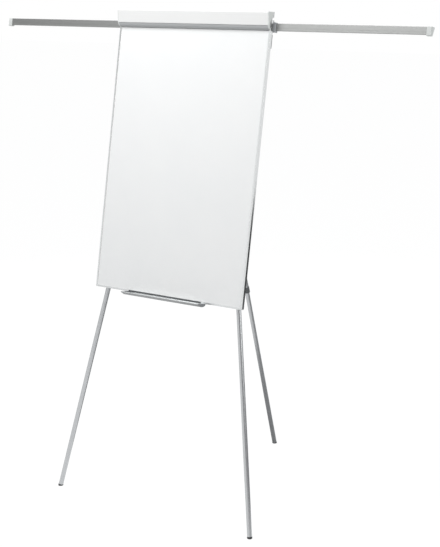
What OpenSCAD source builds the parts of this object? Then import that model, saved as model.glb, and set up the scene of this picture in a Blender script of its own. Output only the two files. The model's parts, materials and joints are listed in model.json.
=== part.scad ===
// Flipchart easel: a white board on a tripod of telescopic legs, with a sprung pad clamp,
// two display arms that slide out from behind it and a pen tray below it.
// Millimetres, +Z up, standing on the plane z = 0, with its front towards -Y.
// Pieces of the board are drawn in the board's own axes: x across it, y back from its front
// face and z up its slope from its lower edge. Leg pieces hang down -z from the leg's pivot.

/* [Stance] */
// Lean of the board back from vertical, degrees
board_tilt = 10.3; // [6:0.1:13]
// Height of the board's lower front edge above the floor
board_edge_z = 830; // [760:5:880]
// Splay of each front leg in the plane of the board, degrees
leg_splay = 10.2; // [7:0.1:11]
// Angle between the rear leg and the board, degrees
rear_spread = 27.7; // [22:0.1:32]

/* [Board] */
// Width of the board over its side profiles
board_w = 694; // [660:1:740]
// Height of the board up its slope
board_h = 1060; // [1020:5:1100]
// Depth of the frame profiles
frame_d = 20; // [18:0.5:24]
// Wall of the frame profiles
frame_t = 1.2; // [1:0.1:1.8]
// Width of the frame's front lip
frame_lip = 7; // [5:0.5:10]
// Width of the side profiles' rear lip
rear_lip = 16; // [14:0.5:22]
// Thickness of the enamelled writing sheet
sheet_t = 0.5; // [0.3:0.1:1]
// Thickness of the honeycomb core
core_t = 9; // [7:0.5:11]
// Thickness of the back liner
liner_t = 0.4; // [0.3:0.1:0.8]
// Thickness of the plugs at the lower corners
plug_t = 3; // [2:0.5:4]
// Length of the plugs' tongues inside the side profiles
plug_tongue = 18; // [10:1:30]
// Thickness of the plugs' tongues
tongue_t = 3; // [2:0.5:5]
// Play around the panel and the plugs
panel_play = 0.3; // [0.2:0.1:0.5]

/* [Clamp rail] */
// Thickness of the clamp rail's front leg
rail_t = 6; // [5.5:0.1:7]
// Drop of the clamp rail's front leg below the board's top
rail_drop = 17; // [16:0.5:18]
// Radius of the rail's rounded nose
nose_r = 4; // [2:0.5:5]
// Thickness of the rail's shelf, its hinge web and its rear lip
shelf_t = 2; // [1.6:0.1:2.4]
// Height of the clamp hinge above the board's top
hinge_rise = 16; // [14:0.5:20]
// Distance of the clamp hinge behind the board's front face
hinge_back = 8; // [7.6:0.1:9]
// Radius of the hinge rod
rod_r = 2; // [1.5:0.1:2.4]
// Wall of the hinge boss around the rod
boss_wall = 2; // [1.5:0.1:2.4]
// Radial running clearance of pins and rods
pin_play = 0.05; // [0.02:0.01:0.09]

/* [Clamp bar] */
// Height of the clamp bar's top above its hinge
bar_rise = 11; // [10:0.5:14]
// Reach of the clamp bar behind its hinge
bar_back = 7; // [6.6:0.1:9]
// Depth of the clamp bar's lower lip
bar_foot = 10; // [9:0.5:14]
// How far the clamp bar's brow leans out over its foot
bar_lean = 9; // [4:0.5:12]
// Rise of the clamp bar's top towards the back, in degrees
bar_slope = 6; // [0:0.5:9]
// Wall of the clamp bar
bar_wall = 2; // [1.5:0.1:2.4]
// Radius of the clamp bar's brow
brow_r = 4; // [3:0.5:6]
// Gap between the clamp bar's lower lip and the rail
lip_gap = 2; // [1.5:0.1:3]
// Room between the clamp bar's lower lip and the tips of the pegs as it swings past them
lip_room = 2.8; // [1:0.1:4]
// Thickness of the clamp's end caps
bar_cap_t = 4; // [3:0.5:5]
// How far the end caps stand out past the board's sides
bar_overhang = 0; // [0:0.5:3]
// Gap between the clamp's end caps and the rail
bar_cap_gap = 0.3; // [0.2:0.1:0.6]
// Distance of each closing spring from the middle
spring_x = 200; // [160:5:260]
// Radius of the spring wire
wire_r = 0.6; // [0.4:0.1:0.8]
// Turns of each spring
spring_turns = 5; // [3:1:7]
// Gap between the turns of a spring
turn_gap = 0.6; // [0.5:0.1:1]

/* [Clamp jaw] */
// Wall of the clamp jaw
jaw_t = 1.6; // [1.2:0.1:2]
// Setback of the jaw from the clamp bar's front edge
jaw_set = 1.5; // [0:0.5:3]
// Drop of the jaw's knee below the clamp bar
knee_drop = 9; // [7:0.5:10]
// Setback of the jaw's knee behind its upper edge
knee_in = 4; // [2:0.5:6]
// Drop of the jaw's toe below the clamp bar
jaw_drop = 15.6; // [13.6:0.2:18]
// Height of the upturned flange that carries the grip strip
jaw_lip = 5; // [4:0.5:6]
// Thickness of the grip strip
grip_t = 2.9; // [2.5:0.1:3.5]
// Gap between the grip strip and the writing sheet
grip_gap = 0.3; // [0.2:0.1:0.6]

/* [Pad pegs] */
// Distance of each peg from the middle
peg_x = 140; // [120:5:180]
// Radius of a peg
peg_r = 3; // [2:0.5:3.5]
// Length of a peg in front of its flange
peg_len = 7.5; // [6:0.5:8]
// Drop of the peg slot below the board's top
slot_drop = 8; // [7:0.5:9]
// Height of the slot's mouth
slot_mouth = 4.4; // [3.5:0.1:5]
// Height of the slot's undercut
slot_w = 8.4; // [7.5:0.1:9]
// Depth of the slot's mouth
mouth_d = 2; // [1.5:0.1:2.2]
// Depth of the slot's undercut behind its mouth
undercut_d = 2.3; // [2:0.1:2.5]
// Length of a peg's slider
slider_len = 14; // [10:1:20]
// Play of the slider in its slot
slide_play = 0.3; // [0.2:0.1:0.4]

/* [Display arms] */
// Height of an arm
arm_h = 27; // [24:0.5:29]
// Thickness of an arm
arm_d = 9.4; // [8:0.2:11]
// Wall of an arm
arm_wall = 1.3; // [1:0.1:1.8]
// Depth of the line along an arm's faces
groove_d = 0.6; // [0.3:0.1:0.7]
// Width of the line along an arm's faces
groove_w = 2; // [1:0.5:3]
// Height of that line above the arm's lower edge
groove_up = 8; // [5:0.5:11]
// Distance of an arm's outer tube end from the middle
arm_reach = 953; // [850:1:1000]
// Drop of the arms' centre line below the board's top
arm_drop = 22; // [21:0.5:25]
// Play of an arm in its rail and bushes
arm_play = 0.3; // [0.2:0.1:0.5]
// Room above and below an arm in its channel
arm_room = 2; // [1.5:0.1:3]
// Wall of the arm rail
arm_rail_t = 1.6; // [1.2:0.1:2]
// Width of the arm rail's lower flange
arm_flange = 9; // [8:0.5:10]
// How far the bushes stand out past the board's sides
bush_out = 7; // [6:0.5:16]
// Rim of the bushes above and below an arm
bush_rim = 3; // [2:0.2:4]
// How far the bushes reach in from the board's sides
bush_in = 5; // [3:0.5:8]
// How far the bushes stand proud of the arm rail
bush_proud = 1; // [0.5:0.5:2]
// Length of the bush tongues inside the arm rail
tongue_len = 20; // [12:1:30]
// Length of the glide on an arm's inner end
arm_glide_len = 20; // [12:1:30]
// Length of the spigots inside an arm
arm_spigot = 25; // [15:1:40]
// Width of an arm's end cap
arm_cap_w = 17; // [10:1:20]
// Depth of an arm's end cap at its top
arm_cap_d = 28; // [22:0.5:32]
// Depth of an arm's end cap at its foot
arm_cap_foot = 15; // [8:0.5:18]
// How far an arm's end cap hangs below the arm
arm_cap_drop = 4; // [2:0.5:8]
// How far an arm's end cap stands above the arm
arm_cap_rise = 1; // [0.5:0.5:3]

/* [Hub] */
// Drop of the front leg pivots below the board's top
pivot_drop = 75; // [72:0.5:85]
// Distance of each front leg pivot in from the board's side
pivot_x = 214.3; // [195:0.1:225]
// Distance of the front legs' axis behind the board's front face
leg_back = 35; // [34.8:0.1:42]
// Drop of the rear leg hinge below the board's top
rear_drop = 62; // [62:0.5:70]
// Distance of the rear leg hinge behind the board's front face
rear_back = 57; // [54:0.5:70]
// Thickness of the hub plate
hub_t = 2.5; // [2:0.1:2.6]
// Height of the hub plate
hub_h = 50; // [46:1:52]
// How far the hub plate stops short of the board's sides
hub_inset = 4; // [2:0.5:8]
// Radius of the leg pivots
pivot_r = 4; // [3:0.5:5]
// Radius of the pivot heads
pivot_head_r = 7; // [6:0.5:8]
// Thickness of the pivot heads
pivot_head_t = 2.5; // [2:0.5:4]
// Width of the rear hinge's knuckle
rear_knuckle_w = 27; // [24:0.5:32]
// Thickness of the clevis ears
ear_t = 5; // [4:0.5:7]
// Radius of the clevis ears
ear_r = 12; // [10:0.5:13]
// Width of the clevis feet
clevis_foot_w = 14; // [12:0.5:18]
// Thickness of the clevis feet
clevis_foot_t = 4; // [3:0.5:6]
// Sideways and end play of the knuckles
knuckle_play = 0.3; // [0.2:0.1:0.5]

/* [Legs] */
// Outer radius of the upper tubes
upper_r = 11; // [10.8:0.1:11.2]
// Wall of the upper tubes
upper_wall = 1.2; // [1:0.1:1.3]
// Outer radius of the lower tubes
lower_r = 9.5; // [9:0.1:9.6]
// Wall of the lower tubes
lower_wall = 1.2; // [1:0.1:1.5]
// Length of the front legs from pivot to the end of the upper tube
front_upper_len = 975; // [900:1:985]
// Length of the rear leg from hinge to the end of the upper tube
rear_upper_len = 1102; // [950:1:1110]
// Length of lower tube inside the upper tube
overlap = 160; // [120:5:200]
// Length of a knuckle between its pivot and the tube
neck_len = 25; // [22:1:35]
// Length of a knuckle's spigot inside the tube
knuckle_spigot = 30; // [20:1:40]
// Radius of a lock collar
collar_r = 12.5; // [12.4:0.1:13]
// Length of a lock collar on the upper tube
collar_over = 14; // [12:1:24]
// Length of a lock collar below the upper tube
collar_below = 13; // [12.5:0.5:20]
// Depth of the grip flutes around a lock collar
flute_d = 0.5; // [0.3:0.1:0.6]
// Number of grip flutes around a lock collar
flute_n = 16; // [12:2:24]
// Length of a grip ring
ring_len = 9; // [6:0.5:10]
// Width of the slit in a grip ring
ring_slit = 2; // [1:0.5:4]
// Length of the head of a glide plug
glide_len = 14; // [10:1:20]
// Length of the spigots in the lower tubes
lower_spigot = 22; // [15:1:30]
// Play of tubes, plugs and rings in each other
tube_play = 0.1; // [0.05:0.01:0.15]
// Radius of a foot
foot_r = 10; // [9.7:0.1:12]
// Height of a foot along its leg
foot_h = 6.5; // [6:0.5:20]

/* [Leg hooks] */
// Distance of the leg hooks up the leg from the board's lower edge
hook_along = 96; // [60:1:160]
// Height of a leg hook
hook_h = 30; // [20:1:40]
// Thickness of a leg hook
hook_t = 2; // [1.5:0.1:2.5]
// Length of a leg hook's foot on the board's back
hook_foot = 24; // [20:1:26]
// How far a leg hook closes behind the leg
hook_close = 10; // [6:1:12]

/* [Pen tray] */
// Length of the tray with its end caps
tray_len = 366; // [300:2:420]
// Reach of the tray's lip in front of the board
tray_reach = 48; // [40:1:60]
// Drop of the tray's floor below the board
tray_drop = 11; // [9:0.5:16]
// Height of the tray's back up the board
tray_back_h = 6; // [4:0.5:7]
// Height of the tray's lip above the board's lower edge
tray_lip_up = 2; // [0:0.5:6]
// Height of the tray's upright lip
tray_lip_h = 4; // [2:0.5:6]
// Distance of the front of the tray's floor from the board
floor_front = 27; // [22:1:32]
// Distance of the back of the tray's floor from the board
floor_back = 13; // [8:1:16]
// Wall of the tray
tray_t = 1.6; // [1.2:0.1:2.2]
// Thickness of the tray's end caps
tray_cap_t = 2; // [1.5:0.5:4]
// Length of the tray's fixing flange under the board
tray_flange = 14; // [12:0.5:17]

/* [Fasteners] */
// Radius of a screw's shank
screw_r = 1.6; // [1.2:0.1:1.7]
// Radius of a screw's head
screw_head_r = 2.8; // [2.4:0.1:2.9]
// Height of a screw's head
screw_head_h = 1.8; // [1.2:0.1:2]
// Length of a screw's shank
screw_len = 9; // [7:0.5:9.5]

/* [Hidden] */
$fn = 64;
corner_steps = 6;
curl_rings = 8;
wire_sides = 6;
screw_play = 0.05;
floor_cut = 100;

// Levels up the board
slot_v = board_h - slot_drop;
arm_v = board_h - arm_drop;
pivot_v = board_h - pivot_drop;
rear_v = board_h - rear_drop;
hinge_v = board_h + hinge_rise;
shelf_v = board_h + shelf_t;

// Depths behind the board's front face
sheet_back = frame_t + sheet_t;
core_back = sheet_back + core_t;
panel_back = core_back + liner_t;
channel_d = arm_d + 2 * arm_play;
channel_h = arm_h + 2 * arm_room;
arm_rail_d = 2 * channel_d + 3 * arm_rail_t;
arm_rail_h = channel_h + 2 * arm_rail_t;
right_arm_n = frame_d + arm_rail_t + channel_d / 2;
left_arm_n = right_arm_n + channel_d + arm_rail_t;
hub_back = frame_d + hub_t;
rib_back = panel_back + frame_t;
step_in = frame_lip - frame_t;

// The clamp rail's rear lip hooks over the arm rail's upper flange, just clear of the bushes
hook_lip_v = arm_v + arm_rail_h / 2 + bush_proud + slide_play;

// The panel inside its frame
half_w = board_w / 2;
panel_w = board_w - 2 * (frame_t + panel_play);
panel_v = plug_t + panel_play;
leg_x = half_w - pivot_x;

// The clamp's ends and section
bar_half = half_w + bar_overhang - bar_cap_t;
rail_half = bar_half - bar_cap_gap;
boss_r = rod_r + boss_wall;
lip_n = -(rail_t + lip_gap);
bar_foot_n = lip_n - bar_foot;
bar_brow_n = bar_foot_n - bar_lean;
bar_back_n = hinge_back + bar_back;
// The bar's lower lip swings past the tips of the pegs
peg_tip_n = -(rail_t + slide_play + shelf_t + peg_len);
peg_sweep_r = norm([hinge_back - peg_tip_n, hinge_v - slot_v + peg_r]) + slide_play;
lip_top_v = hinge_v - sqrt(pow(peg_sweep_r + lip_room, 2) - pow(hinge_back - lip_n, 2));
bar_low_v = lip_top_v - bar_wall;
bar_top_v = hinge_v + bar_rise;
bar_crest_v = bar_top_v + (bar_back_n - bar_brow_n) * tan(bar_slope);
cap_scoop = [hinge_back + 12, bar_low_v + 6.5];
cap_scoop_r = cap_scoop[0] - lip_n - 1.5;
// The jaw slopes from the bar's lip back to the board, and its grip strip closes between the frame's lips
jaw_front_n = bar_foot_n + jaw_set;
jaw_knee = [jaw_front_n + knee_in, bar_low_v - knee_drop];
jaw_low_v = bar_low_v - jaw_drop;
jaw_toe_n = frame_t - grip_gap - grip_t;
grip_half = half_w - frame_lip - bar_cap_gap;
cap_toe_n = -2 * bar_cap_gap;
coil_r = rod_r + wire_r + 0.6;
// The springs' upper legs end just under the sloped top of the bar
spring_tip = bar_rise - bar_wall / cos(bar_slope) - slide_play
    + (hinge_back + coil_r - wire_r - bar_brow_n) * tan(bar_slope);
coil_pitch = 2 * wire_r + turn_gap;
notch_w = spring_turns * coil_pitch + 2 * wire_r + 2;
rail_screw_n = hinge_back - shelf_t / 2 - screw_head_r - 0.4;

// Where the legs stand, from the front lower edge of the board at y = 0
front_pivot_y = pivot_v * sin(board_tilt) + leg_back * cos(board_tilt);
front_pivot_z = board_edge_z + pivot_v * cos(board_tilt) - leg_back * sin(board_tilt);
front_foot_y = front_pivot_y - front_pivot_z * tan(board_tilt);
rear_lean = rear_spread - board_tilt;
rear_pivot_y = rear_v * sin(board_tilt) + rear_back * cos(board_tilt);
rear_pivot_z = board_edge_z + rear_v * cos(board_tilt) - rear_back * sin(board_tilt);
rear_foot_y = rear_pivot_y + rear_pivot_z * tan(rear_lean);
front_len = front_pivot_z / (cos(leg_splay) * cos(board_tilt));
rear_len = rear_pivot_z / cos(rear_lean);
// The footprint is centred on the origin
board_y = -(front_foot_y - foot_r / cos(board_tilt) + rear_foot_y + foot_r / cos(rear_lean)) / 2;

// The legs by number: left -1, rear 0, right 1
function leg_len(leg) = leg == 0 ? rear_len : front_len;
function upper_len(leg) = leg == 0 ? rear_upper_len : front_upper_len;
upper_bore = upper_r - upper_wall;
lower_bore = lower_r - lower_wall;
collar_bore = upper_r + tube_play;

// The rear knuckle's heel meets the clevis when the leg is open
heel_up = upper_r - 1;
stop_n = rear_back - heel_up * sin(rear_spread) - upper_r * cos(rear_spread) - knuckle_play;
clevis_half = rear_knuckle_w / 2 + knuckle_play + ear_t;

// Screw places, across the board and up it
rail_screw_x = [-300, -100, 100, 300];
frame_screw_x = half_w - (rear_lip + frame_t) / 2 - 1;
arm_screw_v = arm_v - arm_rail_h / 2 - arm_flange / 2;
hub_screw_v = [pivot_v - hub_h / 4, pivot_v + hub_h / 4];
clevis_screw_x = clevis_half + clevis_foot_w / 2;
clevis_screw_v = [rear_v - ear_r / 2 - 1, rear_v + ear_r / 2];
tray_screw_x = [-tray_len / 3, 0, tray_len / 3];
tray_screw_n = tray_flange / 2 + 1;
// A hook holds its leg above the board's lower edge, or higher where the collar comes first
hook_down = min(
    pivot_v / cos(leg_splay) - hook_along,
    front_upper_len - collar_over - hook_h / 2 - slide_play
);
hook_screw_z = [-hook_h / 4, hook_h / 4];
hook_wall = upper_r + knuckle_play;
hook_screw_out = hook_wall + hook_t + hook_foot * 0.45;

function unit(v) = v / norm(v);
function left_of(v) = unit([-v[1], v[0]]);
function turn(a) = [cos(a), sin(a)];

// The arc that rounds the corner b between a and c
function corner_arc(a, b, c, r) =
    let (
        u = unit(a - b),
        w = unit(c - b),
        half = acos(u * w) / 2,
        centre = b + unit(u + w) * r / sin(half),
        first = b + u * r / tan(half) - centre,
        last = b + w * r / tan(half) - centre,
        from = atan2(first[1], first[0]),
        sweep = (atan2(last[1], last[0]) - from + 900) % 360 - 180
    )
    [for (i = [0 : corner_steps]) centre + r * turn(from + sweep * i / corner_steps)];

// A path with its inner corners rounded, each by its own radius, 0 leaving it sharp
function rounded(path, radii) = [
    for (i = [0 : len(path) - 1])
        each (radii[i] == 0 ? [path[i]] : corner_arc(path[i - 1], path[i], path[i + 1], radii[i]))
];

// The mitred point t to the left of a path's point i
function beside(path, i, t) =
    let (
        before = left_of(path[max(i, 1)] - path[max(i, 1) - 1]),
        next = min(i, len(path) - 2),
        after = left_of(path[next + 1] - path[next]),
        middle = unit(before + after)
    )
    path[i] + middle * t / (middle * before);

// A bent sheet of thickness t on the left of a path
function sheet(path, t) = concat(path, [for (i = [len(path) - 1 : -1 : 0]) beside(path, i, t)]);

// Board axes and leg axes
module on_board() translate([0, board_y, board_edge_z]) rotate([-board_tilt, 0, 0]) children();

module on_leg(leg) on_board() {
    if (leg == 0)
        translate([0, rear_back, rear_v]) rotate([rear_spread, 0, 0]) children();
    else
        translate([leg * leg_x, leg_back, pivot_v]) rotate([0, -leg * leg_splay, 0]) children();
}

// A section in the board's y and z, carried along x
module along_x(len) rotate([90, 0, 90]) linear_extrude(len, center = true) children();

module box(from, to) translate(from) cube(to - from);

// A cylinder from the point at along one of the axes
module rod_x(at, r, len) translate(at) rotate([0, 90, 0]) cylinder(r = r, h = len);
module rod_y(at, r, len) translate(at) rotate([-90, 0, 0]) cylinder(r = r, h = len);
module rod_down(from, to, r) translate([0, 0, -to]) cylinder(r = r, h = to - from);

// A screw driven towards -z, its head resting on the plane z = 0
module screw() {
    cylinder(r = screw_head_r, h = screw_head_h);
    translate([0, 0, -screw_len]) cylinder(r = screw_r, h = screw_len);
}

module screw_hole() translate([0, 0, -screw_len - 1]) cylinder(r = screw_r + screw_play, h = screw_len + 2);

// Screw places: each puts its children where a screw's head rests, with +z out of the work
module at_rail_screws() for (x = rail_screw_x) translate([x, rail_screw_n, shelf_v]) children();

module from_behind(x, n, v) translate([x, n, v]) rotate([-90, 0, 0]) children();

module at_arm_rail_screws()
    for (side = [-1, 1]) from_behind(side * frame_screw_x, frame_d + arm_rail_t, arm_screw_v) children();

module at_hub_screws()
    for (side = [-1, 1], v = hub_screw_v) from_behind(side * frame_screw_x, hub_back, v) children();

module at_clevis_screws()
    for (side = [-1, 1], v = clevis_screw_v)
        from_behind(side * clevis_screw_x, hub_back + clevis_foot_t, v) children();

module at_tray_screws()
    for (x = tray_screw_x) translate([x, tray_screw_n, -tray_t]) rotate([180, 0, 0]) children();

// In board axes, on the hook's foot, turned with the leg
module at_hook_screws()
    for (side = [-1, 1])
        translate([side * leg_x, leg_back, pivot_v]) rotate([0, -side * leg_splay, 0])
            for (z = hook_screw_z)
                translate([side * hook_screw_out, panel_back + hook_t - leg_back, z - hook_down])
                    rotate([-90, 0, 0]) children();

// Board

module panel_slab(from_n, to_n) box([-panel_w / 2, from_n, panel_v], [panel_w / 2, to_n, board_h]);

module writing_sheet() color("white") on_board() panel_slab(frame_t, sheet_back);

module panel_core() color("tan") on_board() difference() {
    panel_slab(sheet_back, core_back);
    at_rail_screws() screw_hole();
    at_hook_screws() screw_hole();
    at_tray_screws() screw_hole();
}

module back_liner() color("lightgray") on_board() difference() {
    panel_slab(core_back, panel_back);
    at_hook_screws() screw_hole();
}

// The side profiles clasp the panel with a front lip and a rib, and a rear channel is set in behind the rib
module side_section() {
    square([frame_t, rib_back]);
    for (n = [0, panel_back]) translate([0, n]) square([frame_lip, frame_t]);
    translate([step_in, panel_back]) square([frame_t, frame_d - panel_back]);
    translate([step_in, frame_d - frame_t]) square([rear_lip - step_in, frame_t]);
}

module frame_side(side) color("silver") on_board() difference() {
    mirror([side > 0 ? 1 : 0, 0, 0])
        translate([-half_w, 0, plug_t]) linear_extrude(board_h - plug_t) side_section();
    at_arm_rail_screws() screw_hole();
    at_hub_screws() screw_hole();
}

// The bottom profile's section: a web with a front lip, a rib behind the panel and a rear lip
module sill_section() {
    square([frame_t, frame_d]);
    for (n = [0, panel_back, frame_d - frame_t]) translate([0, n]) square([frame_lip, frame_t]);
}

// The bottom profile runs between the sides, and its rear lip stops short of theirs
module frame_bottom() color("silver") on_board() difference() {
    along_x(board_w - 2 * frame_lip) rotate(90) mirror([0, 1]) sill_section();
    for (side = [0, 1]) mirror([side, 0, 0])
        box(
            [half_w - rear_lip - panel_play, frame_d - frame_t - panel_play, frame_t],
            [half_w, frame_d + 1, frame_lip + 1]
        );
    at_tray_screws() screw_hole();
}

// A plug has the side profile's outline, and a tongue that goes up inside its rear channel
module frame_corner_plugs() color("gainsboro") on_board()
    for (side = [0, 1]) mirror([side, 0, 0]) translate([-half_w, 0, 0]) {
        tongue_from = [frame_lip + panel_play, rib_back + panel_play, frame_t + panel_play];
        tongue_back = frame_d - frame_t - panel_play;
        box([0, 0, 0], [frame_lip, rib_back, plug_t]);
        box([step_in, 0, 0], [frame_lip, frame_d, plug_t]);
        box([step_in, tongue_from[1], tongue_from[2]], [tongue_from[0] + tongue_t, tongue_back, plug_t]);
        box(tongue_from, [tongue_from[0] + tongue_t, tongue_back, plug_t + plug_tongue]);
    }

// Clamp

module rail_section() difference() {
    union() {
        polygon(rounded(
            [[0, shelf_v], [-rail_t, shelf_v], [-rail_t, board_h - rail_drop], [0, board_h - rail_drop]],
            [0, 0, nose_r, 0]
        ));
        translate([0, board_h]) square([frame_d + arm_rail_t + shelf_t, shelf_t]);
        translate([frame_d + arm_rail_t, hook_lip_v]) square([shelf_t, board_h - hook_lip_v]);
    }
    translate([-rail_t, slot_v - slot_mouth / 2]) square([mouth_d, slot_mouth]);
    translate([mouth_d - rail_t, slot_v - slot_w / 2]) square([undercut_d, slot_w]);
}

module hinge_section() difference() {
    union() {
        translate([hinge_back - shelf_t / 2, shelf_v]) square([shelf_t, hinge_rise - shelf_t]);
        translate([hinge_back, hinge_v]) circle(boss_r);
    }
    translate([hinge_back, hinge_v]) circle(rod_r + pin_play);
}

module clamp_rail() color("darkgray") on_board() difference() {
    union() {
        along_x(2 * rail_half) rail_section();
        along_x(2 * rail_half) hinge_section();
    }
    for (side = [-1, 1])
        translate([side * spring_x, hinge_back, hinge_v])
            cube([notch_w, 3 * boss_r, 2 * (hinge_rise - shelf_t)], center = true);
    at_rail_screws() screw_hole();
}

module clamp_rail_screws() color("gray") on_board() at_rail_screws() screw();

module clamp_hinge_rod() color("silver") on_board()
    rod_x([-bar_half - bar_cap_t, hinge_back, hinge_v], rod_r, 2 * (bar_half + bar_cap_t));

// The bar's outer face from the back of its top to the end of its lower lip
bar_path = rounded(
    [
        [bar_back_n, hinge_v + wire_r + 3],
        [bar_back_n, bar_crest_v],
        [bar_brow_n, bar_top_v],
        [bar_foot_n, bar_low_v],
        [lip_n, bar_low_v]
    ],
    [0, bar_wall + 1, brow_r, bar_wall + 0.5, 0]
);

module clamp_bar() color("white") on_board() along_x(2 * bar_half) polygon(sheet(bar_path, bar_wall));

// The jaw's outer face from the back of its upper flange to the top of its grip flange
jaw_path = rounded(
    [
        [lip_n, bar_low_v],
        [jaw_front_n, bar_low_v],
        jaw_knee,
        [jaw_toe_n, jaw_low_v],
        [jaw_toe_n, jaw_low_v + jaw_lip]
    ],
    [0, jaw_t + 0.4, jaw_t + 1, 0, 0]
);

module clamp_jaw() color("darkgray") on_board() along_x(2 * bar_half) polygon(sheet(jaw_path, jaw_t));

module clamp_end(side) color("gainsboro") on_board()
    translate([side * (bar_half + bar_cap_t / 2), 0, 0]) along_x(bar_cap_t) difference() {
        polygon(rounded(
            [
                [bar_back_n, bar_low_v],
                [bar_back_n, bar_crest_v],
                [bar_brow_n, bar_top_v],
                [bar_foot_n, bar_low_v],
                jaw_knee,
                [cap_toe_n, jaw_low_v],
                [cap_toe_n, bar_low_v],
                [bar_back_n, bar_low_v]
            ],
            [0, bar_wall + 1, brow_r, brow_r, brow_r, 1, 0, 0]
        ));
        translate(cap_scoop) circle(cap_scoop_r);
        translate([hinge_back, hinge_v]) circle(rod_r + pin_play);
    }

module clamp_grip_strip() color("dimgray") on_board()
    box([-grip_half, jaw_toe_n, jaw_low_v], [grip_half, jaw_toe_n + grip_t, jaw_low_v + jaw_lip]);

// Each spring stands on the shelf, winds round the hinge rod and pushes up behind the hinge.
// A stop along the wire is its distance along x, its angle round the rod and its rise above the rod.
coil_stops = [
    [0, 0, wire_r + slide_play - (hinge_rise - shelf_t)],
    for (i = [0 : curl_rings * spring_turns]) [i * coil_pitch / curl_rings, 360 * i / curl_rings, 0],
    [coil_pitch * spring_turns, 0, spring_tip]
];
function coil_point(stop) = [stop[0], coil_r * cos(stop[1]), coil_r * sin(stop[1]) + stop[2]];
coil_points = [for (stop = coil_stops) coil_point(stop)];
wire_points = [
    for (stop = coil_stops, k = [0 : wire_sides - 1])
        let (out = turn(stop[1]), a = turn(360 * k / wire_sides))
            coil_point(stop) + wire_r * [a[1], a[0] * out[0], a[0] * out[1]]
];
wire_faces = [
    for (i = [0 : len(coil_stops) - 2], k = [0 : wire_sides - 1])
        let (
            a = i * wire_sides + k,
            b = i * wire_sides + (k + 1) % wire_sides
        )
            each [[a, b, b + wire_sides], [a, b + wire_sides, a + wire_sides]],
    for (k = [1 : wire_sides - 2]) each [
        [0, k + 1, k],
        [for (j = [0, k, k + 1]) len(wire_points) - wire_sides + j]
    ]
];
least_turn_gap = min([
    for (i = [0 : len(coil_points) - 1], j = [i + curl_rings - 1 : len(coil_points) - 1])
        norm(coil_points[j] - coil_points[i])
]) - 2 * wire_r;
echo(least_turn_gap = least_turn_gap);

module clamp_springs() color("gray") on_board()
    for (side = [-1, 1])
        translate([side * spring_x - coil_pitch * spring_turns / 2, hinge_back, hinge_v])
            polyhedron(wire_points, wire_faces);

module pad_peg(side) color("dimgray") on_board() translate([side * peg_x, -rail_t, slot_v]) {
    slider_h = slot_w - 2 * slide_play;
    neck_h = slot_mouth - 2 * slide_play;
    box(
        [-slider_len / 2, mouth_d + slide_play, -slider_h / 2],
        [slider_len / 2, mouth_d + undercut_d - slide_play, slider_h / 2]
    );
    box([-slider_len / 2, -slide_play, -neck_h / 2], [slider_len / 2, mouth_d + slide_play, neck_h / 2]);
    rod_y([0, -slide_play - shelf_t, 0], peg_r + 1.5, shelf_t);
    rod_y([0, -slide_play - shelf_t - peg_len, 0], peg_r, peg_len);
}

// Display arms

module arm_channel(n) translate([n, arm_v]) square([channel_d, channel_h], center = true);

module arm_rail() color("lightgray") on_board() difference() {
    along_x(2 * (half_w - bush_in)) difference() {
        union() {
            translate([frame_d, arm_v - arm_rail_h / 2]) square([arm_rail_d, arm_rail_h]);
            translate([frame_d, arm_v - arm_rail_h / 2 - arm_flange])
                square([arm_rail_t, board_h - arm_v + arm_rail_h / 2 + arm_flange]);
        }
        for (n = [left_arm_n, right_arm_n]) arm_channel(n);
    }
    at_arm_rail_screws() screw_hole();
}

module arm_rail_screws() color("gray") on_board() at_arm_rail_screws() screw();

function arm_n(side) = side < 0 ? left_arm_n : right_arm_n;

// A bush covers the end of the rail and goes on as a sleeve round its own arm
module arm_bush(side) color("gray") on_board() {
    window = [arm_d, arm_h] + 2 * [arm_play, arm_play];
    sleeve = window + 2 * [arm_rail_t, bush_rim];
    translate([side * (half_w - bush_in / 2), 0, 0]) along_x(bush_in) difference() {
        translate([frame_d, arm_v - arm_rail_h / 2 - bush_proud])
            square([arm_rail_d + bush_proud, arm_rail_h + 2 * bush_proud]);
        translate([arm_n(side), arm_v]) square(window, center = true);
    }
    translate([side * (half_w + bush_out / 2), arm_n(side), arm_v]) along_x(bush_out) difference() {
        square(sleeve, center = true);
        square(window, center = true);
    }
    translate([side * (half_w - bush_in - tongue_len / 2), 0, 0]) along_x(tongue_len)
        for (up = [0, 1])
            translate([arm_n(side), arm_v]) mirror([0, up])
                translate([-arm_d / 2, window[1] / 2])
                    square([arm_d, arm_room - 2 * arm_play]);
}

arm_root = half_w - bush_in - tongue_len - slide_play;

module arm_section() difference() {
    square([arm_d, arm_h], center = true);
    square([arm_d - 2 * arm_wall, arm_h - 2 * arm_wall], center = true);
    for (face = [-1, 1])
        translate([face * arm_d / 2, groove_up - arm_h / 2]) square([2 * groove_d, groove_w], center = true);
}

module on_arm(side, from, to)
    translate([side * (from + to) / 2, arm_n(side), arm_v]) along_x(to - from) children();

module arm_plug() square([arm_d, arm_h] - 2 * (arm_wall + slide_play) * [1, 1], center = true);

module arm(side) color("silver") on_board() on_arm(side, arm_root, arm_reach) arm_section();

module arm_glide(side) color("dimgray") on_board() {
    on_arm(side, arm_root - arm_glide_len, arm_root) square([arm_d, channel_h - 2 * arm_play], center = true);
    on_arm(side, arm_root, arm_root + arm_spigot) arm_plug();
}

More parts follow.
